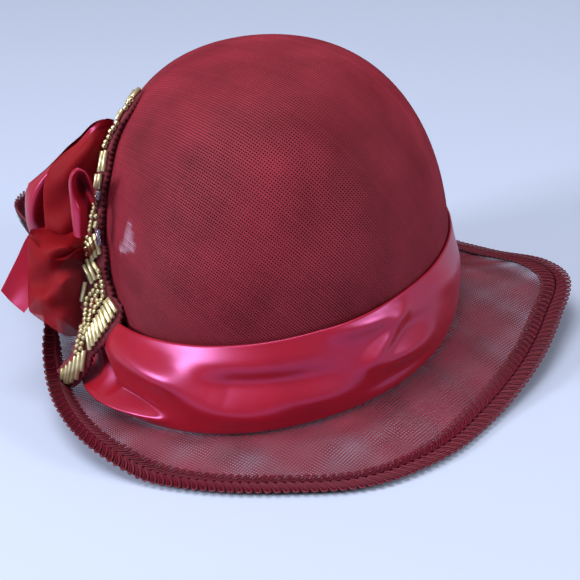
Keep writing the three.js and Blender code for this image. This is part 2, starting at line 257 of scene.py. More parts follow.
# %% Gimp cord
RING_MM = 0.3927
STRAIGHT_WAVE = 2 * math.pi / 20  # crest to crest of a straight wave of scale 1
gimp, gimp_shader = start_material("rayon_gimp_cord", {"Roughness": 0.42, "IOR": 1.5,
                                                       "Specular IOR Level": 0.35})
gimp_length = add_node(gimp, "ShaderNodeUVMap", {"uv_map": "UVMap"})
gimp_rings = add_node(gimp, "ShaderNodeTexWave", {"bands_direction": "X"},
                      {"Vector": gimp_length.outputs["UV"], "Scale": STRAIGHT_WAVE / RING_MM,
                       "Distortion": 1.5})
# The rings' colour is painted shade: the wave that lowers the grooves in the bump also darkens them.
gimp_ring_painted_shade = add_node(gimp, "ShaderNodeMix", {"data_type": "RGBA"},
                    {0: gimp_rings.outputs["Fac"], 6: linear("#460716"), 7: linear("#741027")})
gimp_bump = add_node(gimp, "ShaderNodeBump", None,
                     {"Strength": 0.25, "Distance": 0.0003, "Height": gimp_rings.outputs["Fac"]})
gimp.node_tree.links.new(gimp_ring_painted_shade.outputs[2], gimp_shader.inputs["Base Color"])
gimp.node_tree.links.new(gimp_bump.outputs["Normal"], gimp_shader.inputs["Normal"])

# %% [markdown]
# The beads' backing is cotton, closely stitched by machine. Cotton scatters light, so it is matt, and
# the stitches make it lumpy. The core of the braid is plain cotton too; its near-black colour is painted
# shade between the loops.

# %% Stitched backing and braid core
STITCH_MM = 1.6
backing, backing_shader = start_material("stitched_cotton_backing", {"Roughness": 0.85, "IOR": 1.5})
# The darker of the backing's two shades falls where its stitch bump is low: painted shade in the hollows
# between stitches.
_, backing_stitch = mottle_dye(backing, backing_shader, STITCH_MM, 3.0, "#430a15", "#7c1a2a")
backing_bump = add_node(backing, "ShaderNodeBump", None,
                        {"Strength": 0.6, "Distance": 0.0006, "Height": backing_stitch.outputs["Fac"]})
backing.node_tree.links.new(backing_bump.outputs["Normal"], backing_shader.inputs["Normal"])

# Near black: painted shade for the gaps between the braid's loops.
gimp_core_painted_shade, _ = start_material("cotton_core_painted_shade", {"Base Color": linear("#22050b"), "Roughness": 0.9,
                                                   "IOR": 1.5})

# %% [markdown]
# The gold beads are drawn glass tube, cut short and lined with gold paint. The lining shines like
# soft metal and the glass over it adds a second, sharp gloss. The crystals are clear cut glass.

# %% Glass of the beads
GOLD_CLOUD_MM = 3.0
gold_glass, gold_shader = start_material("gold_lined_glass", {"Metallic": 0.75, "Roughness": 0.33,
                                                              "Coat Weight": 0.6, "Coat Roughness": 0.05})
mottle_dye(gold_glass, gold_shader, GOLD_CLOUD_MM, 2.0, "#a99a6c", "#ddd1a6")

crystal, _ = start_material("clear_cut_glass", {"Base Color": linear("#d8cce8"), "Roughness": 0.05,
                                                "IOR": 1.52, "Transmission Weight": 0.85})
print("materials", [m.name for m in bpy.data.materials])

# %% [markdown]
# Meshes are made from arrays. A strip of quads between rows of points serves cloth, threads and cords.

# %% Mesh helpers


def make_piece(name, points, quads, material, values=None, uv=None):
    """A piece of quads that rides on the hat, with values kept at its points."""
    mesh = bpy.data.meshes.new(name)
    count = len(quads)
    mesh.vertices.add(len(points))
    mesh.vertices.foreach_set("co", metres(points).astype(np.float32).ravel())
    mesh.loops.add(count * 4)
    mesh.loops.foreach_set("vertex_index", np.asarray(quads, np.int32).ravel())
    mesh.polygons.add(count)
    mesh.polygons.foreach_set("loop_start", np.arange(0, count * 4, 4, dtype=np.int32))
    mesh.polygons.foreach_set("use_smooth", np.ones(count, bool))
    for key, value in (values or {}).items():
        layer = mesh.attributes.new(key, "FLOAT", "POINT")
        layer.data.foreach_set("value", np.asarray(value, np.float32))
    if uv is not None:
        mesh.uv_layers.new(name="UVMap").data.foreach_set(
            "uv", np.asarray(uv, np.float32)[np.asarray(quads).ravel()].ravel())
    mesh.update(calc_edges=True)
    mesh.materials.append(material)
    piece = bpy.data.objects.new(name, mesh)
    bpy.context.scene.collection.objects.link(piece)
    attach(piece, "root")
    print(name, count, "quads")
    return piece


def grid_quads(columns, rows, ring=False):
    """Quads of a grid whose points run row by row, closed on itself if it is a ring."""
    across = columns if ring else columns + 1
    i, j = np.meshgrid(np.arange(columns), np.arange(rows))
    i, j = i.ravel(), j.ravel()
    k = (i + 1) % across
    return np.stack([j * across + i, j * across + k, (j + 1) * across + k, (j + 1) * across + i], 1)


def tubes(paths, radius, sides, face):
    """Round cords along many paths at once: paths and face are arrays of path, place, xyz."""
    along = unit(np.gradient(paths, axis=1))
    first = unit(face - (face * along).sum(-1, keepdims=True) * along)
    second = np.cross(along, first)
    turn = np.arange(sides) * 2 * math.pi / sides
    rim = (np.cos(turn)[:, None] * first[:, :, None] + np.sin(turn)[:, None] * second[:, :, None])
    points = paths[:, :, None] + radius * rim
    count, steps = paths.shape[:2]
    quads = grid_quads(sides, steps - 1, ring=True)
    quads = (quads[None] + np.arange(count)[:, None, None] * steps * sides).reshape(-1, 4)
    stretches = np.linalg.norm(np.diff(paths, axis=1), axis=-1)
    length = np.concatenate([np.zeros((count, 1)), np.cumsum(stretches, 1)], 1)
    uv = np.stack([np.repeat(length[:, :, None], sides, 2), np.broadcast_to(turn, (count, steps, sides))], -1)
    return points.reshape(-1, 3), quads, uv.reshape(-1, 2)


# %% [markdown]
# The crown is a dome on an oval: a superellipse in section, leaning a little, with a wall that eases
# down to the slanted headline. The same formula gives the inner layer and the path of each thread.

# %% Crown form
CROWN = {"half_width": 90.9, "centre_x": 8.3, "foot": 26.8, "rise": 130.7, "power": 2.71, "belly": 0.018,
         "slope_x": 0.11, "lean_x": -3.4, "lean_y": -4.0, "wall_share": 0.2,
         "wall_ease": 1.2}
BELLY_SCALE = 27 / 4  # brings the peak of t (1 - t) squared to 1
HEADLINE_SLOPE = (0.088, 0.046)
BRIM_WALL = 1.2


def headline_height(x, y):
    """Height of the slanted headline over a place of the table."""
    return HEADLINE_HEIGHT + HEADLINE_SLOPE[0] * x + HEADLINE_SLOPE[1] * y


def crown_at(angle, v):
    """Outer face of the crown: v is 0 at the headline and 1 at the top."""
    angle, v = np.broadcast_arrays(np.asarray(angle, float), np.asarray(v, float))
    c, s = np.cos(angle), np.sin(angle)
    share = CROWN["wall_share"]
    phi = np.clip((v - share) / (1 - share), 0, 1) * math.pi / 2
    t = np.sin(phi) ** (2 / CROWN["power"])
    r = CROWN["half_width"] * np.clip(np.cos(phi), 0, 1) ** (2 / CROWN["power"])
    full = r * (1 + BELLY_SCALE * CROWN["belly"] * t * (1 - t) ** 2)
    dome = np.stack([
        CROWN["centre_x"] + full * c + CROWN["lean_x"] * t,
        full * DEPTH_RATIO * s + CROWN["lean_y"] * t,
        HEADLINE_HEIGHT + CROWN["foot"] + CROWN["rise"] * t + CROWN["slope_x"] * (1 - t) * full * c,
    ], -1)
    x, y = HEADLINE_HALF_WIDTH * c, HEADLINE_HALF_WIDTH * DEPTH_RATIO * s
    foot = np.stack([x, y, headline_height(x, y) - BRIM_WALL], -1)
    ease = np.sin(np.clip(v / share, 0, 1) * math.pi / 2)[..., None] ** CROWN["wall_ease"]
    return np.where((v < share)[..., None], foot + (dome - foot) * ease, dome)


GROUND_COLUMNS, GROUND_ROWS = 144, 72
GROUND_INSET = 0.994
GROUND_CORE = np.array([CROWN["centre_x"], 0.0, 60.0])
TOP_LEVEL = 0.9999
angles, levels = np.meshgrid(np.arange(GROUND_COLUMNS) * 2 * math.pi / GROUND_COLUMNS,
                             np.linspace(0, TOP_LEVEL, GROUND_ROWS + 1))
ground = crown_at(angles, levels).reshape(-1, 3)
ground = GROUND_CORE + (ground - GROUND_CORE) * GROUND_INSET
crown_ground = make_piece("crown_inner_layer", ground, grid_quads(GROUND_COLUMNS, GROUND_ROWS, ring=True),
                          sinamay_ground)
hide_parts("crown")

# %% [markdown]
# The cloth was blocked over the dome on the bias, so its threads cross the wall as diagonals.
# They are straight lines on a flat map that is spread from a point high on the back of the crown:
# a place of the map is a direction from inside the crown, and the thread lies where that direction
# meets the dome. The front of the crown is mapped the same way from its own side.

# %% Crown threads
THREAD_PITCH = 1.32
THREAD_STEP = 4.0
THREAD_TURN = {"over": math.radians(-42), "under": math.radians(48)}
CROWN_THREAD_WIDTH = {"over": 0.78, "under": 0.74}
CROWN_THREAD_LIFT = {"over": 0.22, "under": 0.0}
CROWN_THREAD_RIDGE = 0.28
MAP_AXIS = unit(np.array([0.0, -0.75, 0.66]))
MAP_SIDE = np.array([1.0, 0.0, 0.0])
MAP_UP = np.cross(MAP_AXIS, MAP_SIDE)
MAP_CORE = np.array([CROWN["centre_x"] + CROWN["lean_x"], CROWN["lean_y"], 75.0])
MAP_RADIUS = 95.0
MAP_REACH = 185.0
MAP_LIMIT = 2.2  # radians from the map's axis
SEAM_TILT = math.radians(25)
SEAM = np.array([0.0, math.cos(SEAM_TILT), -math.sin(SEAM_TILT)])
SEAM_OVERLAP = 0.03
HIDDEN_LEVEL = 0.14
ANGLE_ROUNDS, LEVEL_HALVINGS = 4, 14
TINY = 1e-9


def crown_toward(direction):
    """Where a direction from the core meets the crown, and the level there."""
    want = np.arctan2(direction[..., 1], direction[..., 0])
    rise = np.arctan2(direction[..., 2], np.hypot(direction[..., 0], direction[..., 1]))
    angle = np.arctan2(direction[..., 1] / DEPTH_RATIO, direction[..., 0])
    for _ in range(ANGLE_ROUNDS):
        low, high = np.zeros_like(angle), np.ones_like(angle)
        for _ in range(LEVEL_HALVINGS):
            level = (low + high) / 2
            q = crown_at(angle, level) - MAP_CORE
            below = np.arctan2(q[..., 2], np.hypot(q[..., 0], q[..., 1])) < rise
            low, high = np.where(below, level, low), np.where(below, high, level)
        miss = want - np.arctan2(q[..., 1], q[..., 0])
        angle = angle + np.arctan2(np.sin(miss), np.cos(miss))
    return crown_at(angle, level), level


def crown_from_map(far):
    """The function from the map to the near side of the crown, or to its mirrored far side."""
    def place(x, y):
        polar = np.hypot(x, y) / MAP_RADIUS
        spin = np.arctan2(y, x)
        around_axis = np.cos(spin)[..., None] * MAP_SIDE + np.sin(spin)[..., None] * MAP_UP
        direction = np.cos(polar)[..., None] * MAP_AXIS + np.sin(polar)[..., None] * around_axis
        past = (direction @ SEAM)[..., None]
        points, level = crown_toward(direction - 2 * past * SEAM if far else direction)
        inside = (past[..., 0] < SEAM_OVERLAP) & (polar < MAP_LIMIT)
        return points, inside & (level > HIDDEN_LEVEL)
    return place


def thread_rows(direction, offsets, reach, step):
    """Places along straight threads on a flat map: arrays of thread, place."""
    along = np.arange(-reach, reach + step, step)
    c, s = math.cos(direction), math.sin(direction)
    return (along[None] * c - offsets[:, None] * s, along[None] * s + offsets[:, None] * c)


def weave_strips(surface, direction, pitch, width, lift, ridge, reach, step, core):
    """Threads as strips with a raised middle, where the surface says that they lie on the cloth."""
    offsets = np.arange(-reach, reach, pitch)
    tone = random.random(len(offsets))
    shifts = (-width / 2, 0, width / 2)
    rows = [surface(*thread_rows(direction, offsets + shift, reach, step)) for shift in shifts]
    place = np.stack([r[0] for r in rows], 2)
    inside = rows[1][1]
    normal = np.cross(np.gradient(place[:, :, 1], axis=1), place[:, :, 2] - place[:, :, 0]) + [0, 0, TINY]
    normal = unit(normal) * np.sign((normal * (place[:, :, 1] - core)).sum(-1, keepdims=True))
    place += normal[:, :, None] * np.array([lift, lift + ridge, lift])[:, None]
    count, steps = inside.shape
    index = np.arange(count * steps * 3).reshape(count, steps, 3)
    keep = inside[:, :-1] & inside[:, 1:]
    a, b = index[:, :-1][keep], index[:, 1:][keep]
    quads = np.concatenate([np.stack([a[:, k], b[:, k], b[:, k + 1], a[:, k + 1]], 1) for k in (0, 1)])
    points = place.reshape(-1, 3)
    tones = np.repeat(tone, steps * 3)
    used, quads = np.unique(quads, return_inverse=True)
    return points[used], quads.reshape(-1, 4), tones[used]


def join_sets(sets):
    """Several sets of points, quads and values as one."""
    first = np.cumsum([0] + [len(part[0]) for part in sets])
    quads = np.concatenate([part[1] + k for part, k in zip(sets, first)])
    return np.concatenate([part[0] for part in sets]), quads, np.concatenate([part[2] for part in sets])


# A pale patch on the front of the crown: each thread in it is lightened towards a pale lilac by its own
# share.
PALE_PATCH_TOP_PX = (129.5, 222)
PALE_PATCH_LONG_PX = 30.0
PALE_PATCH_HALF_PX = (1.5, 7.5)
PALE_PATCH_SHIFT_PX = -2.5
PALE_PATCH_DEPTH = 0.55
PALE_PATCH_LEAST = 0.35


def pale_patch_share(points, tone):
    """A pale place, narrow at its top, where each thread is lightened by its own share."""
    off, down = (to_picture(points) - PALE_PATCH_TOP_PX).T
    share = down / PALE_PATCH_LONG_PX
    half_width = PALE_PATCH_HALF_PX[0] + (PALE_PATCH_HALF_PX[1] - PALE_PATCH_HALF_PX[0]) * share
    beside = np.abs(off - PALE_PATCH_SHIFT_PX * share) < half_width
    inside = (share > 0) & (share < 1) & beside & (points[:, 1] < 0)
    return np.where(inside, PALE_PATCH_DEPTH * (PALE_PATCH_LEAST + (1 - PALE_PATCH_LEAST) * tone), 0)


for name, lift in CROWN_THREAD_LIFT.items():
    points, quads, tone = join_sets([
        weave_strips(crown_from_map(far), THREAD_TURN[name], THREAD_PITCH, CROWN_THREAD_WIDTH[name], lift,
                     CROWN_THREAD_RIDGE, MAP_REACH, THREAD_STEP, MAP_CORE) for far in (False, True)])
    make_piece("crown_threads_" + name, points, quads, crown_thread,
               {"tone": tone, "pale_patch": pale_patch_share(points, tone)})

# %% [markdown]
# The brim is two layers of the same cloth, so light comes through it and the layers make a moire.
# Its edge is a table by plan angle: the reach from the headline's middle and the height over the table.

# %% Brim form
BRIM_EDGE = np.array([  # degrees, reach, height
    (-171, 122.5, 41), (-165, 126.5, 33), (-157, 131.5, 24), (-141, 142, 14.5), (-127, 151, 8.5),
    (-116, 155, 1), (-106, 158, -2.5), (-90, 163, -3.5), (-76, 170, -3.5), (-62, 165, -2.5), (-44, 154, 1.5),
    (-28, 153, 7.5), (-10, 158, 14.5), (4, 168, 19.5), (15, 166.5, 17.5), (32, 162, 8), (49, 171, -0.5),
    (64, 175, -3.5), (80, 178, -3.5), (93, 180, -2), (105, 181, 15), (120, 182, 45), (134, 181, 61),
    (140, 178, 64), (147, 168, 65), (155, 145, 64.5), (165, 131, 62.5), (173, 125.5, 56), (180, 123.5, 48.5)])
BRIM_TURN = {"out": 0.55, "up": 0.2, "down": 0.75}
HEADLINE_EASE = 0.7
LAY_EASE = 1.5
SECTION_ANGLES, SECTION_STEPS = 1440, 48
BEND_STEPS = 200


def brim_edge(degrees):
    """Smooth closed curve through the edge rows."""
    rows = np.concatenate([BRIM_EDGE - [360, 0, 0], BRIM_EDGE, BRIM_EDGE + [360, 0, 0]])
    k = np.searchsorted(rows[:, 0], degrees, side="right") - 1
    p, a, b, q = rows[k - 1], rows[k], rows[k + 1], rows[k + 2]
    span = (b[:, 0] - a[:, 0])[:, None]
    t = ((degrees - a[:, 0])[:, None]) / span
    slope0 = (b - p)[:, 1:] / (b - p)[:, :1] * span
    slope1 = (q - a)[:, 1:] / (q - a)[:, :1] * span
    return ((2 * t ** 3 - 3 * t ** 2 + 1) * a[:, 1:] + (t ** 3 - 2 * t ** 2 + t) * slope0
            + (3 * t ** 2 - 2 * t ** 3) * b[:, 1:] + (t ** 3 - t ** 2) * slope1).T


def lay_down(z):
    """Heights of the top face, eased so that what would sink lies on the table."""
    over = z - BRIM_WALL
    soft = BRIM_WALL + np.where(over <= -LAY_EASE, 0, (over + LAY_EASE) ** 2 / (4 * LAY_EASE))
    return np.where(over >= LAY_EASE, z, soft)


def oval_reach(half_width, angle):
    """Reach of the headline's oval at a plan angle."""
    return 1 / np.hypot(np.cos(angle) / half_width, np.sin(angle) / (half_width * DEPTH_RATIO))


section_angle = np.arange(SECTION_ANGLES) * 2 * math.pi / SECTION_ANGLES - math.pi
edge_reach, edge_height = brim_edge(np.degrees(section_angle))
start_reach = oval_reach(HEADLINE_HALF_WIDTH + HEADLINE_EASE, section_angle)
start_height = headline_height(start_reach * np.cos(section_angle), start_reach * np.sin(section_angle))
turn_reach = start_reach + (edge_reach - start_reach) * BRIM_TURN["out"]
turn_share = np.where(edge_height > start_height, BRIM_TURN["up"], BRIM_TURN["down"])
turn_height = start_height + (edge_height - start_height) * turn_share
t = np.linspace(0, 1, BEND_STEPS)


def bent(start, turn, end):
    """Curves from start to end that are drawn towards turn, one for each angle."""
    return np.outer(start, (1 - t) ** 2) + np.outer(turn, 2 * t * (1 - t)) + np.outer(end, t ** 2)


section_r = bent(start_reach, turn_reach, edge_reach)
section_z = lay_down(bent(start_height, turn_height, edge_height))
run = np.concatenate([np.zeros((SECTION_ANGLES, 1)),
                      np.cumsum(np.hypot(np.diff(section_r), np.diff(section_z)), 1)], 1)
section_run = run[:, -1]
even = np.linspace(0, 1, SECTION_STEPS + 1)
even_r = np.array([np.interp(even * w[-1], w, r) for w, r in zip(run, section_r)])
even_z = np.array([np.interp(even * w[-1], w, z) for w, z in zip(run, section_z)])
print("brim from headline to edge", section_run.min().round(), "to", section_run.max().round(), "mm")


def around(values, angle):
    """A value kept for each section angle, read between them."""
    k = (np.asarray(angle) + math.pi) / (2 * math.pi) * SECTION_ANGLES
    i = np.floor(k).astype(int)
    f = k - i
    return values[i % SECTION_ANGLES] * (1 - f) + values[(i + 1) % SECTION_ANGLES] * f


def brim_at(angle, out):
    """Top face of the brim: out is the way from the headline along the cloth."""
    share = np.clip(out / around(section_run, angle), 0, 1) * SECTION_STEPS
    j = np.minimum(share.astype(int), SECTION_STEPS - 1)
    f = share - j
    k = (angle + math.pi) / (2 * math.pi) * SECTION_ANGLES
    i = np.floor(k).astype(int)
    g = k - i
    i, n = i % SECTION_ANGLES, (i + 1) % SECTION_ANGLES

    def read(v):
        here = v[i, j] * (1 - f) + v[i, j + 1] * f
        after = v[n, j] * (1 - f) + v[n, j + 1] * f
        return here * (1 - g) + after * g

    r, z = read(even_r), read(even_z)
    return np.stack([r * np.cos(angle), r * np.sin(angle), z], -1)


# %% Brim threads
BRAID_OVERHANG = 5.0
BRIM_BIAS = math.radians(45)
BELOW = np.array([0.0, 0.0, -1000.0])
CROSS_LIFT = 0.12
BRIM_THREAD_RIDGE = 0.1
BRIM_REACH, BRIM_STEP = 200.0, 5.0
BRIM_LAYERS = [  # name, turn of the cloth in degrees, pitch, thread width, lift
    ("brim_upper_layer", 0.0, 1.6, 0.46, -0.15),
    ("brim_lower_layer", 2.5, 1.6, 0.42, -0.5),
]


def brim_from_map(x, y):
    """Where a place of the flat cloth lies on the brim, and whether the brim reaches so far."""
    angle, reach = np.arctan2(y, x), np.hypot(x, y)
    out = reach - around(start_reach, angle)
    inside = (out > 0) & (out < around(section_run, angle) - BRAID_OVERHANG)
    return brim_at(angle, np.clip(out, 0, None)), inside


for name, turn, pitch, width, lift in BRIM_LAYERS:
    points, quads, tone = join_sets([
        weave_strips(brim_from_map, BRIM_BIAS * side + math.radians(turn), pitch, width,
                     lift + CROSS_LIFT * side, BRIM_THREAD_RIDGE, BRIM_REACH, BRIM_STEP, BELOW)
        for side in (1, -1)])
    make_piece(name, points, quads, brim_thread,
                                  {"tone": tone, "pale_patch": np.zeros(len(points))})
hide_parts("brim")

# %% [markdown]
# The edge is bound with scroll gimp: pairs of cords that leave the middle as a herringbone and turn
# back in a U at each side, 4.4 mm apart. Each U is a short path on the brim, swept by a round cord.

# %% Gimp braid
BRAID_WIDTH = 18.0
LOOP_PITCH = 4.4
LOOPS = [  # half width, end, lift
    (1.45, 8.5, 1.5),
    (0.62, 7.6, 1.0),
]
CORD_RADIUS, CORD_SIDES = 0.4, 5
LOOP_LEAN, LEAN_POWER = 5.5, 2.2
LEG_START, LEG_TILT = 0.2, 0.12
MIDDLE_RISE = 0.9
LEG_STEPS, TURN_STEPS = 5, 5
PROBE_MM, PROBE_ANGLE = 2.0, 0.004
BRAID_SAMPLES = 4001
fine_angle = np.linspace(-math.pi, math.pi, BRAID_SAMPLES)
braid_middle = brim_at(fine_angle, around(section_run, fine_angle) - BRAID_WIDTH / 2)
braid_way = np.concatenate([[0], np.cumsum(np.linalg.norm(np.diff(braid_middle, axis=0), axis=1))])
loop_count = int(round(braid_way[-1] / LOOP_PITCH))
pitch = braid_way[-1] / loop_count


def braid_at(along, across, lift):
    """On the braid: along its middle, across it (outward is positive) and above the brim."""
    angle = np.interp(np.mod(along, braid_way[-1]), braid_way, fine_angle)
    reach = around(section_run, angle)
    out = reach - BRAID_WIDTH / 2 + across
    place = brim_at(angle, np.clip(out, 0, None))
    edge = brim_at(angle, reach)
    outward = unit(edge - brim_at(angle, reach - PROBE_MM))
    place = np.where((out > reach)[..., None], edge + outward * (out - reach)[..., None], place)
    further = brim_at(angle + PROBE_ANGLE, out - PROBE_MM)
    sideways = unit(further - brim_at(angle - PROBE_ANGLE, out - PROBE_MM))
    face = unit(np.cross(outward, sideways))
    return place + face * lift[..., None], face


loop_sets = []
for side in (1, -1):
    for half_width, end, loop_lift in LOOPS:
        leg = np.linspace(LEG_START, end - half_width, LEG_STEPS)
        bend = np.linspace(0, math.pi, TURN_STEPS + 2)[1:-1]
        across = np.concatenate([leg, end - half_width + half_width * np.sin(bend), leg[::-1]])
        sideways = half_width * np.concatenate([-np.ones(LEG_STEPS), -np.cos(bend), np.ones(LEG_STEPS)])
        along = sideways - LOOP_LEAN * (1 - across / end) ** LEAN_POWER
        lift = loop_lift + MIDDLE_RISE * (1 - across / end) + LEG_TILT * sideways
        starts = np.arange(loop_count) * pitch + (0 if side > 0 else pitch / 2)
        shape = (loop_count, len(across))
        place, face = braid_at(starts[:, None] + along[None], np.broadcast_to(side * across, shape),
                               np.broadcast_to(lift, shape))
        loop_sets.append(tubes(place, CORD_RADIUS, CORD_SIDES, face))
gimp_points, gimp_quads, gimp_uv = join_sets(loop_sets)
gimp_cords = make_piece("gimp_cords", gimp_points, gimp_quads, gimp, uv=gimp_uv)
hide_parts("gimp_braid")
# A sheet of core under the loops, coloured near black as painted shade between them.
CORE_STEPS, CORE_ROWS = 600, 5
CORE_EDGES = (-6.6, 6.2)
CORE_LIFT = 0.4
core_along, core_across = np.meshgrid(np.arange(CORE_STEPS) * braid_way[-1] / CORE_STEPS,
                                      np.linspace(*CORE_EDGES, CORE_ROWS))
core_place, _ = braid_at(core_along, core_across, np.full(core_along.shape, CORE_LIFT))
make_piece("gimp_core_painted_shade", core_place.reshape(-1, 3), grid_quads(CORE_STEPS, CORE_ROWS - 1, ring=True),
           gimp_core_painted_shade)
print("gimp loops", loop_count, "braid length", round(braid_way[-1]), "mm")

# %% [markdown]
# The satin band is one wide ribbon drawn round the foot of the crown. It is pulled into a deep tuck
# under the bow and creases where it was stretched, so its surface gets folds as ridges and valleys.

# %% Satin band
BAND_FOOT_HALF_WIDTH = 101.2
BAND_LIFT = 1.2
BAND_TOP = {"half_width": 95.6, "ratio": 1.11, "centre_x": 6.4, "height": 44.7, "slope_x": 0.11,
            "slope_y": 0.037}
BAND_PUFF, PUFF_POWER = 3.0, 0.7
FOLD_FADE = 7
BAND_COLUMNS, BAND_ROWS = 480, 60
BAND_FOLDS = np.array([  # degrees and level of both ends, width and rise
    (-161, 0.74, -145, 0.24, 2.8, -8.0), (-151, 0.32, -124, 0.18, 3.0, -5.0),
    (-178, 0.26, -122, 0.06, 4.5, 9.0), (-168, 0.90, -106, 0.50, 9.0, 6.0),
    (-146, 0.95, -112, 0.40, 7.0, 1.6), (-126, 0.42, -86, 0.14, 6.5, 2.2),
    (-132, 0.88, -74, 0.74, 6.0, 1.7), (-124, 0.62, -70, 0.50, 5.0, -1.8),
    (-100, 0.34, -58, 0.20, 6.0, 1.5), (-80, 0.98, -46, 0.80, 5.0, 2.4), (-48, 0.86, -66, 0.44, 5.0, 2.6),
    (-70, 0.48, -34, 0.28, 5.0, 2.6), (-58, 0.68, -36, 0.54, 5.0, -1.6),
    (-74, 0.22, -30, 0.10, 5.0, -1.6), (-40, 0.92, -12, 0.50, 6.0, 1.8), (-24, 0.4, 30, 0.6, 8.0, 1.2),
    (20, 0.7, 75, 0.3, 9.0, 1.4), (70, 0.35, 130, 0.65, 9.0, 1.4), (120, 0.75, 176, 0.4, 8.0, 1.6),
])


def fold_rise(degrees, level):
    """Rise of all folds together at a place of the band."""
    rise = np.zeros_like(level)
    per_degree = math.radians(1) * BAND_FOOT_HALF_WIDTH
    for deg0, level0, deg1, level1, width, height in BAND_FOLDS:
        ax, ay = (deg1 - deg0) * per_degree, (level1 - level0) * BAND_TOP["height"]
        bx, by = (degrees - deg0) * per_degree, (level - level0) * BAND_TOP["height"]
        share = (ax * bx + ay * by) / (ax * ax + ay * ay)
        off = (ax * by - ay * bx) / math.hypot(ax, ay)
        swell = np.where((share > 0) & (share < 1), np.sin(np.pi * np.clip(share, 0, 1)), 0)
        rise += height * swell * np.exp(-(off / width) ** 2)
    return rise


def band_at(angle, level):
    """Face of the band: level is 0 at its foot and 1 at its top."""
    c, s = np.cos(angle), np.sin(angle)
    foot_x = BAND_FOOT_HALF_WIDTH * c
    foot_y = BAND_FOOT_HALF_WIDTH * DEPTH_RATIO * s
    plan = np.arctan2(foot_y, foot_x)
    foot_z = brim_at(plan, np.hypot(foot_x, foot_y) - around(start_reach, plan))[..., 2] + BAND_LIFT
    x, y = BAND_TOP["half_width"] * c, BAND_TOP["half_width"] * BAND_TOP["ratio"] * s
    top_z = HEADLINE_HEIGHT + BAND_TOP["height"] + BAND_TOP["slope_x"] * x + BAND_TOP["slope_y"] * y
    foot = np.stack([foot_x, foot_y, foot_z], -1)
    top = np.stack([BAND_TOP["centre_x"] + x, y, top_z], -1)
    rise = fold_rise(np.degrees(angle), level) * np.clip(level * FOLD_FADE, 0, 1)
    rise += BAND_PUFF * np.sin(np.pi * level ** PUFF_POWER)
    out = np.stack([c, s, np.zeros_like(c)], -1) * rise[..., None]
    return foot + (top - foot) * level[..., None] + out


band_angle, band_level = np.meshgrid(np.arange(BAND_COLUMNS) * 2 * math.pi / BAND_COLUMNS - math.pi,
                                     np.linspace(0, 1, BAND_ROWS + 1))
band_face = band_at(band_angle, band_level)
HEM = ((0.5, 0.35), (1.1, 0.2), (1.5, -0.6), (1.6, -4))  # inward and up from the top edge
TOE = ((1.2, 0.6), (0.8, -0.3), (0.3, -0.35))  # inward and up from the foot


def turned_edge(edge, rows):
    """Rows of the ribbon turned in behind one of its edges."""
    c, s = np.cos(band_angle[0]), np.sin(band_angle[0])
    return np.array([edge + np.stack([-c * d, -s * d, np.full(BAND_COLUMNS, h)], -1) for d, h in rows])


band_points = np.concatenate([turned_edge(band_face[0], TOE), band_face, turned_edge(band_face[-1], HEM)])
satin_band = make_piece("satin_band_ribbon", band_points.reshape(-1, 3),
                        grid_quads(BAND_COLUMNS, len(band_points) - 1, ring=True), satin)
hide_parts("satin_band")

# %% [markdown]
# The bow is cut from satin and organza ribbon. Each ribbon is lofted through a small net of points,
# given by where they lie in the picture and how deep they lie in the hat, root first. A loop goes out
# on its front leg, turns, and comes back on its hind leg. Smooth curves run through the net both ways.

# %% Bow
NET_FINE = 10
HIND_DROP = 4.0


def smooth_rows(net, fine):
    """Catmull-Rom curves through the first axis of a net."""
    n = len(net)
    padded = np.concatenate([2 * net[:1] - net[1:2], net, 2 * net[-1:] - net[-2:-1]])
    t = np.linspace(0, n - 1, (n - 1) * fine + 1)
    k = np.minimum(t.astype(int), n - 2)
    f = (t - k).reshape((-1,) + (1,) * (net.ndim - 1))
    p, a, b, q = padded[k], padded[k + 1], padded[k + 2], padded[k + 3]
    square, cube = 2 * p - 5 * a + 4 * b - q, 3 * a - p - 3 * b + q
    return 0.5 * (2 * a + (b - p) * f + square * f ** 2 + cube * f ** 3)


def ribbon(name, rows, material, node, cut, hind=None):
    """Rows run from one edge of the ribbon to the other; hind is the depth about which a loop turns back."""
    net = np.array([[seen(*place) for place in row] for row in rows])
    if hind is not None:
        back = net[:, -2::-1].copy()
        back[..., 1] = 2 * hind - back[..., 1]
        back[..., 2] -= HIND_DROP
        net = np.concatenate([net, back], 1)
    fine = smooth_rows(net, NET_FINE)
    fine = smooth_rows(np.swapaxes(fine, 0, 1), NET_FINE)
    columns = fine.shape[1] - 1
    piece = make_piece(name, fine.reshape(-1, 3), grid_quads(columns, len(fine) - 1), material)
    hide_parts(node)
    across = np.linalg.norm(np.diff(fine, axis=1), axis=-1).sum(1).mean()
    along = np.linalg.norm(np.diff(fine, axis=0), axis=-1).sum(0).mean()
    area = sum(p.area for p in piece.data.polygons) * 1e6
    print(name, "cut", cut, "modelled", across.round(1), "x", along.round(1), "mm")
    print(name, "area share", area / cut[0] / cut[1])


ribbon("satin_loop_ribbon", [
    [(114, 119.5, 9), (105, 119, 4), (91, 128, 0), (77, 143, -1), (64, 153, 0),
     (50, 166, 2), (28.5, 183.5, 9)],
    [(113, 132, 9), (102, 133, 2), (88, 142, -4), (73, 155, -5), (58, 166, -3),
     (38, 183, -2), (25.5, 193, 9)],
    [(109, 165, 9), (97, 168, 3), (82, 174, 0), (67, 184, 0), (54, 193, 1), (32, 203, -3), (25, 206, 9)],
    [(107, 200, 9), (93, 202, 4), (78, 205, 1), (64, 209, 1), (50, 213, 2), (32, 219, -2), (26.5, 221, 9)],
    [(106, 228, 10), (91, 229, 6), (76, 230, 4), (64, 231, 4), (52, 231, 3), (36, 232, 2), (29, 232, 9)],
], satin, "satin_loop", (54, 130), hind=9.5)

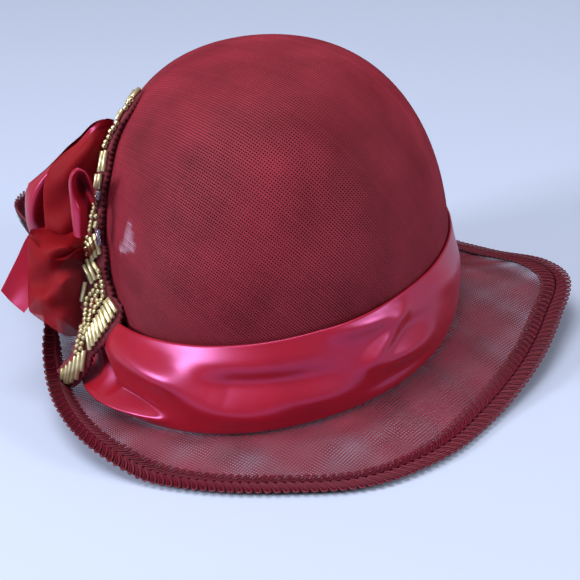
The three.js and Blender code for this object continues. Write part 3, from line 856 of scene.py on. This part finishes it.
ribbon("organza_upper_ribbon", [
    [(110, 127, -10), (94, 131, -15), (80, 141, -15), (66, 152, -13)],
    [(108, 148, -11), (90, 150, -20), (70, 158, -17), (51, 166, -13)],
    [(106, 176, -12), (86, 176, -15), (64, 181, -20), (44, 185, -13)],
    [(105, 205, -13), (84, 204, -20), (62, 207, -16), (43.5, 207, -13)],
    [(104, 228, -14), (82, 229, -16), (62, 230, -20), (45, 226, -13)],
    [(101, 258, -18), (80, 262, -21), (62, 244, -18), (44, 236, -14)],
], organza, "organza_upper", (66, 72), hind=-12.5)

ribbon("organza_lower_ribbon", [
    [(97, 222, -22), (88, 222, -15), (78, 224, -14), (64, 231, -12), (47, 229, -15), (30, 231, -27)],
    [(97, 246, -26), (89, 245, -23), (80, 246, -30), (68, 246, -41), (48, 246, -38), (28, 245, -26)],
    [(97, 262, -30), (89, 262, -25), (79, 261, -28), (70, 258, -32), (48, 262, -41), (28, 262, -26)],
    [(97, 280, -35), (88, 280, -28), (77, 277, -38), (62, 282, -44), (46, 282, -35), (28, 280, -26)],
    [(95, 300, -40), (86, 300, -31), (74, 299, -35), (60, 302, -39), (44, 300, -41), (28, 298, -26)],
    [(91, 320, -45), (83, 320, -33), (72, 319, -39), (60, 318, -42), (46, 314, -36), (29, 310, -27)],
    [(85, 336, -47), (78, 336, -35), (70, 336.5, -37), (60, 333, -39), (48, 325, -36), (33, 314, -29)],
], organza, "organza_lower", (72, 105), hind=-27)

ribbon("satin_tail_ribbon", [
    [(50, 226, -10), (30, 233, -11), (15, 262, -15.5), (0.7, 290.7, -21)],
    [(58, 244, -11), (40, 258, -15), (25, 280, -19.5), (11, 302, -23.5)],
    [(64, 262, -10), (48, 280, -18), (36, 297, -25), (24, 313, -29.5)],
], satin, "satin_tail", (25, 40))

ribbon("satin_curl_ribbon", [
    [(73.6, 235, -43), (70.5, 206, -44), (68.6, 180, -44), (75, 168.6, -44), (85, 171, -44), (91.5, 183, -42),
     (96, 200, -38)],
    [(76, 237, -45), (73.5, 207, -46), (71.8, 183, -46), (77, 172, -45), (84.5, 174, -43), (90, 186, -41),
     (95, 203, -36)],
    [(81, 238, -46.5), (80, 210, -46.5), (78.5, 192, -38), (80, 179, -30), (85, 181, -27), (89.5, 193, -27),
     (95, 207, -27)],
    [(88, 235, -40), (87.5, 212, -40), (87, 200, -33), (86, 192, -25), (88, 194, -23), (91, 203, -23),
     (96, 210, -25)],
], satin, "satin_curl", (18, 56))

# %% [markdown]
# The beaded strip is a narrow stitched backing laid over the roots of the bow and the end of the band.
# Bugle beads are short glass tubes lined with gold and seed beads small rings of the same glass.
# Each bead is given by its place in the picture and is then set on the strip that carries it.

# %% Beaded strip
STRIP = np.array([  # x, y, z of the middle and width
    (-56.3, 1.7, 156.3, 6), (-63.2, -9, 151.5, 5), (-72, -14.8, 137.9, 5), (-77.6, -21, 123.2, 6),
    (-83, -24, 105.3, 6), (-86.7, -27, 87.7, 8), (-87.1, -34, 73.3, 11), (-85.9, -40.8, 57.1, 19),
    (-89.8, -49.6, 44.3, 19), (-98.1, -51.8, 30.6, 14), (-109.1, -48.6, 17.4, 9)])
FACING = np.array([(-0.72, -0.55, 0.42), (-0.42, -0.9, 0.15)])
STRIP_FINE = 24
strip_fine = smooth_rows(STRIP, STRIP_FINE)
strip_along = unit(np.gradient(strip_fine[:, :3], axis=0))
share = np.linspace(0, 1, len(strip_fine))[:, None]
strip_face = FACING[0] * (1 - share) + FACING[1] * share
strip_face = unit(strip_face - (strip_face * strip_along).sum(1, keepdims=True) * strip_along)
strip_across = np.cross(strip_face, strip_along)
strip_px = to_picture(strip_fine[:, :3])
across_px = to_picture(strip_fine[:, :3] + strip_across) - strip_px


def strip_spot(px, py):
    """Index along the strip and millimetres across it of a place in the picture."""
    k = int(np.argmin(np.hypot(strip_px[:, 0] - px, strip_px[:, 1] - py)))
    off = np.array([px, py]) - strip_px[k]
    return k, float(off @ across_px[k] / (across_px[k] @ across_px[k]))


def on_strip(px, py, lift):
    """The place over the strip that is seen at a pixel, and the strip's face there."""
    k, across = strip_spot(px, py)
    return strip_fine[k, :3] + strip_across[k] * across + strip_face[k] * lift, strip_face[k]


# %% Bead tables
BUGLE_RADIUS = 1.3
BUGLE_SIDES = 12
FAN_COUNT = 9
FAN = ((109, 298), (88, 332), (118, 316), (91, 350))
BUGLES = [  # both ends in the picture
    ((140.5, 90.5), (134, 102)), ((136.5, 93), (128, 106)), ((123.5, 111), (118.5, 120)),
    ((108, 150.5), (105, 171)), ((104.2, 151.5), (101, 172)), ((102.4, 174), (100.2, 189)),
    ((98.8, 174), (96.6, 188.5)), ((92, 237), (98, 258)), ((95.7, 234), (101.7, 255)),
    ((89.5, 243), (95, 261)), ((88, 259), (97, 279)), ((85.5, 265), (94, 283)), ((92, 258), (101, 273)),
    ((87, 281), (83, 301)), ((76.5, 356), (73, 381)), ((80.5, 355), (78, 378)), ((63.5, 368), (60, 382)),
    ((68, 365), (66.5, 382)), ((84.5, 351), (83, 370)), ((72, 361), (69.5, 382)),
]
for i in range(FAN_COUNT):
    f = i / (FAN_COUNT - 1)
    ends = [np.array(FAN[k]) * (1 - f) + np.array(FAN[k + 1]) * f for k in (0, 2)]
    BUGLES.append((tuple(ends[0]), tuple(ends[1])))
CRYSTALS = [((99.5, 229), (101, 245)), ((101, 191), (99.5, 200))]
SEED_RADIUS = 1.42
SEEDS = [  # places in the picture, from the top down
    (133, 104), (127, 109.5), (130, 107), (118, 124), (115.5, 128.5), (112.5, 133), (110.5, 137.5),
    (108, 142), (106.5, 147), (99, 193.5), (97.5, 198), (97, 203), (96, 207.5), (95, 212), (93.5, 217),
    (93, 221.5), (92.5, 226), (91.5, 231), (98, 222), (98, 216), (97.5, 226), (89, 238), (88, 243),
    (88, 248), (88.5, 253), (100, 270.5), (101, 276), (103, 281), (104, 286), (104.5, 291),
    (104.5, 295.5), (103, 300), (100.5, 304), (98, 286), (95, 290), (100, 291), (92, 294), (97.5, 296),
    (89, 298.5), (94, 300), (99, 300), (88, 303), (93, 304.5), (97, 306.5), (87.5, 308), (92, 309.5),
    (96, 311), (87, 313), (91.5, 314.5), (86.5, 318), (91, 319.5), (86, 323), (90, 324.5), (83, 327),
    (87, 328.5), (82, 332), (86, 333), (80.5, 337), (84.5, 338.5), (78.5, 342), (82.5, 343.5),
    (77.5, 347), (81.5, 349), (76.5, 352), (80, 354),
]

# %% Strip backing
EDGE_MM = 1.3
JAG_MM = 0.7
BACKING_MM = 3.5
REACH_ROWS, BLUR_ROWS, JAG_ROWS = 9, 7, 4
BACKING_COLUMNS = 5
FAR_MM = 1e3
bead_spots = list(SEEDS) + [end for row in BUGLES for end in row]
bead_index, bead_across = np.array([strip_spot(px, py) for px, py in bead_spots]).T
near = np.abs(np.arange(len(strip_fine))[:, None] - bead_index) < REACH_ROWS
low_edge = np.where(near, bead_across, FAR_MM).min(1) - EDGE_MM
high_edge = np.where(near, bead_across, -FAR_MM).max(1) + EDGE_MM
filled = near.any(1)
rows = np.arange(len(strip_fine))


def blurred(edge):
    """An edge of the backing, carried over rows without beads and then smoothed."""
    carried = np.interp(rows, rows[filled], edge[filled])
    return np.convolve(np.pad(carried, BLUR_ROWS // 2, "edge"), np.ones(BLUR_ROWS) / BLUR_ROWS, "valid")


low_edge, high_edge = blurred(low_edge), blurred(high_edge)
jag = np.where(rows % JAG_ROWS < JAG_ROWS / 2, 0, JAG_MM)
strip_width = high_edge - low_edge + 2 * jag
strip_points = np.stack([strip_fine[:, :3] + strip_across * (low_edge - jag + strip_width * f)[:, None]
                         for f in np.linspace(0, 1, BACKING_COLUMNS)], 1)
strip_points = np.concatenate([strip_points, strip_points[:, ::-1] - strip_face[:, None] * BACKING_MM], 1)
strip_piece = make_piece("strip_backing", strip_points.reshape(-1, 3),
                         grid_quads(strip_points.shape[1], len(strip_fine) - 1, ring=True), backing)
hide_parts("bead_applique")

# %% Bugle beads
BUGLE_LIFT, CRYSTAL_LIFT, BUGLE_STAGGER = 1.3, 1.5, 0.35
BORE, RIM, CHAMFER_MM = 0.5, 0.92, 0.15


def bugle_set(rows, lift):
    """Short tubes between pairs of places, with a bore and a chamfer at both ends."""
    bores = []
    for i, (a, b) in enumerate(rows):
        (pa, face), (pb, _) = on_strip(*a, lift + BUGLE_STAGGER * (i % 2)), on_strip(*b, lift)
        axis = unit(pb - pa)
        first = unit(face - (face @ axis) * axis)
        second = np.cross(axis, first)
        rim = np.arange(BUGLE_SIDES) * 2 * math.pi / BUGLE_SIDES
        ring = np.cos(rim)[:, None] * first + np.sin(rim)[:, None] * second
        chamfer = axis * CHAMFER_MM
        profile = [(pa, BORE), (pa, RIM), (pa + chamfer, 1), (pb - chamfer, 1), (pb, RIM), (pb, BORE),
                   (pa, BORE)]
        bores.append(np.array([centre + ring * radius * BUGLE_RADIUS for centre, radius in profile]))
    bores = np.array(bores)
    count, rings = bores.shape[:2]
    quads = grid_quads(BUGLE_SIDES, rings - 1, ring=True)
    quads = (quads[None] + np.arange(count)[:, None, None] * rings * BUGLE_SIDES).reshape(-1, 4)
    return bores.reshape(-1, 3), quads


bugle_points, bugle_quads = bugle_set(BUGLES, BUGLE_LIFT)
make_piece("bugle_beads", bugle_points, bugle_quads, gold_glass)
crystal_points, crystal_quads = bugle_set(CRYSTALS, CRYSTAL_LIFT)
make_piece("crystal_beads", crystal_points, crystal_quads, crystal)

# %% Seed beads
SEED_LONG, SEED_ROUND = 12, 8
SEED_RING, SEED_FLAT = 0.6, 0.8
SEED_LIFT, SEED_STAGGER = 1.2, 0.25
SEED_LEAN = [0.3, 0.2, 1.0]
turn_long, turn_round = np.meshgrid(np.linspace(0, 2 * math.pi, SEED_LONG, endpoint=False),
                                    np.linspace(0, 2 * math.pi, SEED_ROUND + 1))
ring_radius = SEED_RADIUS * (SEED_RING + (1 - SEED_RING) * np.cos(turn_round))
seed_sets = []
for k, (px, py) in enumerate(SEEDS):
    centre, face = on_strip(px, py, SEED_LIFT + SEED_STAGGER * (k % 3))
    along = unit(np.cross(face, SEED_LEAN))
    third = np.cross(face, along)
    seed = (ring_radius * np.cos(turn_long))[..., None] * face
    seed = seed + (ring_radius * np.sin(turn_long))[..., None] * third
    seed = centre + seed + (SEED_RADIUS * SEED_FLAT * np.sin(turn_round))[..., None] * along
    seed_quads = grid_quads(SEED_LONG, SEED_ROUND, ring=True)
    seed_sets.append((seed.reshape(-1, 3), seed_quads, np.zeros(seed.size // 3)))
seed_points, seed_quads, _ = join_sets(seed_sets)
make_piece("seed_beads", seed_points, seed_quads, gold_glass)

# %% [markdown]
# The stage is a plain pale floor under soft daylight: a large key from the left, as from a window,
# a weaker fill from the right and a pale sky all round.

# %% Stage and light
FLOOR_SIZE_M = 8.0
FLOOR_PLACE_M = (0, 1.0, -0.0005)
SKY_STRENGTH = 0.38
LIGHTS_AIM_M = (0, 0, 0.06)
floor_material, _ = start_material("pale_floor", {"Base Color": linear("#aeb7ca"), "Roughness": 0.9})
bpy.ops.mesh.primitive_plane_add(size=FLOOR_SIZE_M, location=FLOOR_PLACE_M)
floor = bpy.context.object
floor.name = "floor"
floor.data.materials.append(floor_material)

world = bpy.data.worlds.new("pale_sky")
bpy.context.scene.world = world
world.use_nodes = True
world.node_tree.nodes["Background"].inputs["Color"].default_value = linear("#e6eaf4")
world.node_tree.nodes["Background"].inputs["Strength"].default_value = SKY_STRENGTH
LIGHTS = [  # name, place in metres, size, power, colour
    ("left_window", (-1.6, -0.7, 0.85), 0.5, 36.0, "#eef2ff"),
    ("right_window", (1.5, -1.0, 0.75), 0.45, 18.0, "#f6f7ff"),
    ("top_soft", (-0.3, -0.4, 1.9), 1.2, 36.0, "#f8f9ff"),
]
for name, place, size, power, colour in LIGHTS:
    lamp = bpy.data.lights.new(name, "AREA")
    lamp.size = size
    lamp.energy = power
    lamp.color = linear(colour)[:3]
    light = bpy.data.objects.new(name, lamp)
    light.location = place
    light.rotation_euler = (Vector(LIGHTS_AIM_M) - Vector(place)).to_track_quat("-Z", "Y").to_euler()
    bpy.context.scene.collection.objects.link(light)
bpy.context.scene.view_settings.view_transform = "Standard"
